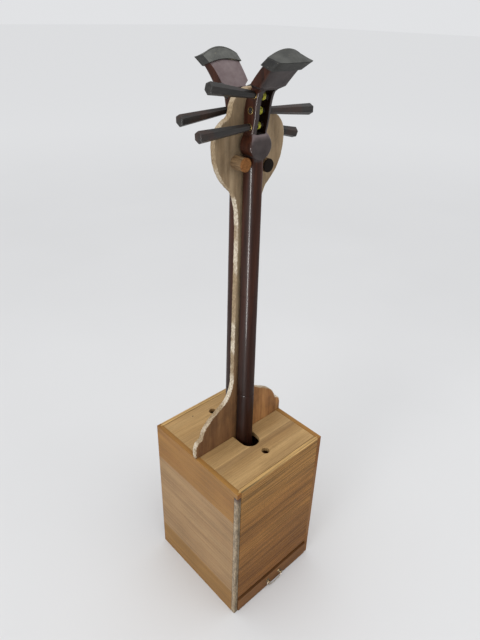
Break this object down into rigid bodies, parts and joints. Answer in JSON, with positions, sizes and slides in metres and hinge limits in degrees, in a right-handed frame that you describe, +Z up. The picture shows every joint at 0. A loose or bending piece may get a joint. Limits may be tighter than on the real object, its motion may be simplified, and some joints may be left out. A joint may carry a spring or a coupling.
{
  "type": "shamisen storage stand",
  "caption": "Tall wooden storage case with a drawer, lift-off lids and an upright divider board that holds shamisens back to back, necks and pegs standing out of the top.",
  "frame": {"origin": "centre of the case's footprint, on the surface it stands on", "axes": "+Z up; X runs across the drawer front; -Y is the drawer side, so the front shamisen stands on -Y of the divider and the back one on +Y"},
  "size_m": [0.2223, 0.2397, 0.994],
  "materials": {
    "paulownia": "matte",
    "divider_wood": "matte",
    "neck_wood": "polished",
    "body_wood": "polished",
    "peg_wood": "satin",
    "cap_leather": "worn",
    "string_silk": "twisted silk",
    "skin_hide": "stretched hide",
    "nut_bone": "satin",
    "pull_metal": "darkened",
    "tail_cord": "braided silk"
  },
  "bodies": {
    "stand": {"left_side_panel": "paulownia", "right_side_panel": "paulownia", "front_rail": "paulownia", "back_base_board": "paulownia", "shelf": "paulownia", "lid_ledge_left": "paulownia", "lid_ledge_right": "paulownia", "drawer_runner_left": "paulownia", "drawer_runner_right": "paulownia", "divider_board": "divider_wood", "rest_dowel_left": "divider_wood", "rest_dowel_right": "divider_wood"},
    "front_panel": {"front_panel": "paulownia"},
    "back_panel": {"back_panel": "paulownia"},
    "front_lid": {"front_lid": "paulownia"},
    "back_lid": {"back_lid": "paulownia"},
    "drawer": {"drawer_front": "paulownia", "drawer_side_left": "paulownia", "drawer_side_right": "paulownia", "drawer_back": "paulownia", "drawer_bottom": "paulownia", "pull_post_left": "pull_metal", "pull_post_right": "pull_metal"},
    "drawer_pull": {"pull_bail": "pull_metal"},
    "front_shamisen": {"front_neck_upper": "neck_wood", "front_neck_middle": "neck_wood", "front_neck_lower": "neck_wood", "front_head_cap": "cap_leather", "front_nut": "nut_bone", "front_string_top": "string_silk", "front_string_middle": "string_silk", "front_string_bottom": "string_silk", "front_body_top": "body_wood", "front_body_bottom": "body_wood", "front_body_left": "body_wood", "front_body_right": "body_wood", "front_front_skin": "skin_hide", "front_back_skin": "skin_hide", "front_tail_cord": "tail_cord"},
    "front_peg_top": {"front_peg_top": "peg_wood"},
    "front_peg_middle": {"front_peg_middle": "peg_wood"},
    "front_peg_bottom": {"front_peg_bottom": "peg_wood"},
    "back_shamisen": {"back_neck_upper": "neck_wood", "back_neck_middle": "neck_wood", "back_neck_lower": "neck_wood", "back_head_cap": "cap_leather", "back_nut": "nut_bone", "back_string_top": "string_silk", "back_string_middle": "string_silk", "back_string_bottom": "string_silk", "back_body_top": "body_wood", "back_body_bottom": "body_wood", "back_body_left": "body_wood", "back_body_right": "body_wood", "back_front_skin": "skin_hide", "back_back_skin": "skin_hide", "back_tail_cord": "tail_cord"},
    "back_peg_top": {"back_peg_top": "peg_wood"},
    "back_peg_middle": {"back_peg_middle": "peg_wood"},
    "back_peg_bottom": {"back_peg_bottom": "peg_wood"}
  },
  "joints": [
    {"name": "drawer_slide", "type": "slide", "parent": "stand", "child": "drawer", "axis": [0, -1, 0], "range_m": [-0.0018, 0.15]},
    {"name": "pull_swing", "type": "hinge", "parent": "drawer", "child": "drawer_pull", "pos_m": [0, -0.1218, 0.0195], "axis": [1, 0, 0], "range_deg": [-170, 12]},
    {"name": "front_lid_lift", "type": "slide", "parent": "stand", "child": "front_lid", "axis": [0, 0, 1], "range_m": [0, 0.15]},
    {"name": "back_lid_lift", "type": "slide", "parent": "stand", "child": "back_lid", "axis": [0, 0, 1], "range_m": [0, 0.15]},
    {"name": "front_panel_lift", "type": "slide", "parent": "stand", "child": "front_panel", "axis": [0, 0, 1], "range_m": [0, 0.28]},
    {"name": "back_panel_lift", "type": "slide", "parent": "stand", "child": "back_panel", "axis": [0, 0, 1], "range_m": [0, 0.28]},
    {"name": "front_shamisen_lift", "type": "slide", "parent": "stand", "child": "front_shamisen", "axis": [0, 0, 1], "range_m": [0, 0.045]},
    {"name": "back_shamisen_lift", "type": "slide", "parent": "stand", "child": "back_shamisen", "axis": [0, 0, 1], "range_m": [0, 0.045]},
    {"name": "front_peg_top_turn", "type": "hinge", "parent": "front_shamisen", "child": "front_peg_top", "pos_m": [0, -0.027, 0.9355], "axis": [-0.9859, 0, 0.1676], "continuous": true},
    {"name": "front_peg_middle_turn", "type": "hinge", "parent": "front_shamisen", "child": "front_peg_middle", "pos_m": [0, -0.021, 0.917], "axis": [0.9976, 0, -0.0698], "continuous": true},
    {"name": "front_peg_bottom_turn", "type": "hinge", "parent": "front_shamisen", "child": "front_peg_bottom", "pos_m": [0, -0.0196, 0.8975], "axis": [-0.9994, 0, -0.034], "continuous": true},
    {"name": "back_peg_top_turn", "type": "hinge", "parent": "back_shamisen", "child": "back_peg_top", "pos_m": [0, 0.027, 0.9325], "axis": [0.9874, 0, 0.158], "continuous": true},
    {"name": "back_peg_middle_turn", "type": "hinge", "parent": "back_shamisen", "child": "back_peg_middle", "pos_m": [0, 0.021, 0.915], "axis": [-0.9976, 0, -0.0698], "continuous": true},
    {"name": "back_peg_bottom_turn", "type": "hinge", "parent": "back_shamisen", "child": "back_peg_bottom", "pos_m": [0, 0.0196, 0.8945], "axis": [0.9764, -0.0683, -0.205], "continuous": true}
  ]
}
